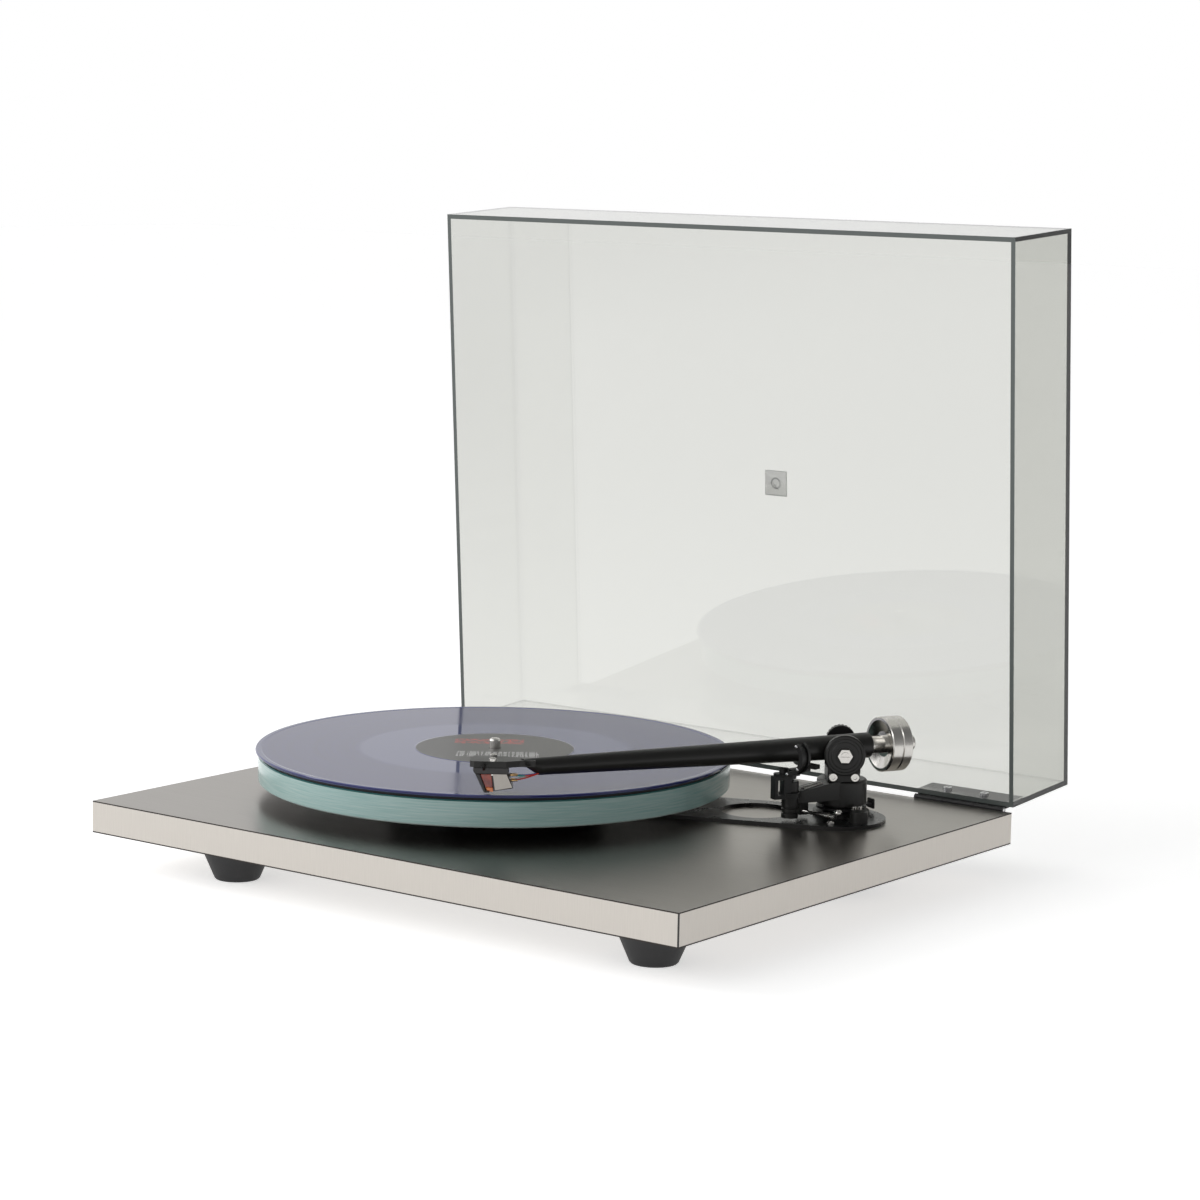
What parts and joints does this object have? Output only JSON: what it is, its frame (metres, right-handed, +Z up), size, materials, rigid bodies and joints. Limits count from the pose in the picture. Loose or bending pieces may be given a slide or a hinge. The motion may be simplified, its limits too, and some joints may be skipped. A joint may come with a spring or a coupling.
{
  "type": "turntable record player",
  "caption": "Flat record player: glass platter with a record, tapered tonearm with counterweight and lift, belt drive under the glass, and a hinged clear dust cover, shown open.",
  "frame": {"origin": "bottom centre of the bounding box of the player with its lid open, on the floor under the feet", "axes": "+X to the player's right, +Y to its rear (the lid's hinge side), +Z up"},
  "size_m": [0.448, 0.4294, 0.4061],
  "materials": {
    "board": "pressed board core, unpainted",
    "nickel_laminate": "fine brushed nickel-coloured metal laminate",
    "edge_metal": "brushed warm silver edge strip",
    "brace_black": "stiff black resin board, satin",
    "foot_rubber": "matt black rubber",
    "belt_rubber": "round elastic belt",
    "steel": "bright machined steel",
    "brass": "machined brass",
    "wheel_black": "moulded black plastic",
    "motor_paint": "dark grey painted can",
    "black_plastic": "satin black plastic",
    "glass": "clear float glass with pale green polished edges",
    "felt": "black felt",
    "vinyl": "translucent dark blue-violet vinyl, grooved and glossy",
    "label_paper": "grey printed paper with plain coloured fields",
    "smoke_acrylic": "clear acrylic with a light smoke tint, polished edges",
    "badge": "frosted clear acrylic",
    "hinge_black": "black painted steel",
    "arm_black": "black painted cast aluminium, satin",
    "polished_steel": "polished stainless steel",
    "cartridge_grey": "grey and dark red moulded plastic",
    "wires": "thin coloured insulated wire"
  },
  "bodies": {
    "plinth": {"plinth_core": "board", "top_skin": "nickel_laminate", "bottom_skin": "nickel_laminate", "upper_brace": "brace_black", "lower_brace": "brace_black", "foot_screws": "steel", "power_inlet": "black_plastic", "lead_gland": "black_plastic", "bearing_housing": "brass", "thrust_ball": "steel", "motor_body": "motor_paint", "motor_cover": "black_plastic", "belts": "belt_rubber", "hinge_pins": "steel", "arm_base": "arm_black", "arm_fixings": "polished_steel", "pivot_post": "steel", "lift_cylinder": "arm_black", "lift_frame": "black_plastic", "arm_clip": "black_plastic", "edge_band_front": "edge_metal", "edge_band_rear": "edge_metal", "edge_band_left": "edge_metal", "edge_band_right": "edge_metal", "foot_front_right": "foot_rubber", "foot_front_left": "foot_rubber", "foot_rear": "foot_rubber", "hinge_bracket_left": "hinge_black", "hinge_bracket_right": "hinge_black"},
    "lid": {"lid_shell": "smoke_acrylic", "lid_boss": "badge", "lid_screws": "steel", "hinge_leaf_left": "hinge_black", "hinge_leaf_right": "hinge_black"},
    "platter": {"spindle": "polished_steel", "sub_platter": "wheel_black", "glass_platter": "glass", "glass_rim": "glass", "platter_mat": "felt", "record": "vinyl", "record_labels": "label_paper"},
    "pulley": {"motor_pulley": "steel"},
    "yoke": {"yoke": "arm_black", "yoke_screws": "polished_steel", "bearing_races": "steel", "near_bearing_cap": "arm_black", "bearing_nut": "polished_steel"},
    "arm": {"arm_tube": "arm_black", "weight_stub": "polished_steel", "cartridge_body": "cartridge_grey", "cartridge_screws": "polished_steel", "stylus": "steel", "lead_wires": "wires", "pivot_shaft": "steel"},
    "counterweight": {"weight_front": "polished_steel", "weight_rear": "polished_steel"},
    "force_dial": {"force_dial": "black_plastic"},
    "bias_ring": {"bias_ring": "black_plastic"},
    "lift_platform": {"lift_platform": "arm_black"},
    "lift_lever": {"lift_lever": "polished_steel"}
  },
  "joints": [
    {"name": "lid_hinge", "type": "hinge", "parent": "plinth", "child": "lid", "pos_m": [0, 0.14498, 0.0432], "axis": [1, 0, 0], "range_deg": [0, 86.27]},
    {"name": "platter_spin", "type": "hinge", "parent": "plinth", "child": "platter", "pos_m": [-0.0523, -0.03052, 0.043], "axis": [0, 0, 1], "continuous": true},
    {"name": "motor_spin", "type": "hinge", "parent": "plinth", "child": "pulley", "pos_m": [-0.12766, 0.02225, 0.043], "axis": [0, 0, 1], "continuous": true},
    {"name": "arm_swing", "type": "hinge", "parent": "plinth", "child": "yoke", "pos_m": [0.15066, 0.05945, 0.085], "axis": [0, 0, -1], "range_deg": [-22.6, 23.6]},
    {"name": "arm_tilt", "type": "hinge", "parent": "yoke", "child": "arm", "pos_m": [0.15066, 0.05945, 0.085], "axis": [-0.6032, 0.7976, 0], "range_deg": [0, 2]},
    {"name": "counterweight_slide", "type": "slide", "parent": "arm", "child": "counterweight", "axis": [-0.4477, -0.8941, 0.0096], "range_m": [-0.006, 0.0045]},
    {"name": "force_dial_turn", "type": "hinge", "parent": "yoke", "child": "force_dial", "pos_m": [0.15066, 0.05945, 0.0882], "axis": [0.6032, -0.7976, 0], "range_deg": [0, 270]},
    {"name": "bias_ring_turn", "type": "hinge", "parent": "plinth", "child": "bias_ring", "pos_m": [0.15066, 0.05945, 0.05], "axis": [0, 0, 1], "range_deg": [-15, 15]},
    {"name": "lift_lever_turn", "type": "hinge", "parent": "plinth", "child": "lift_lever", "pos_m": [0.14085, 0.03271, 0.0493], "axis": [0.996, -0.0889, 0], "range_deg": [0, 75]},
    {"name": "lift_rise", "type": "slide", "parent": "plinth", "child": "lift_platform", "axis": [0, 0, 1], "range_m": [0, 0.0011]}
  ],
  "couplings": [
    {"joint": "motor_spin", "follows": "platter_spin", "ratio": 7.5},
    {"joint": "lift_lever_turn", "follows": "arm_tilt", "ratio": 37.5},
    {"joint": "lift_rise", "follows": "arm_tilt", "m_per_rad": 0.031512}
  ]
}
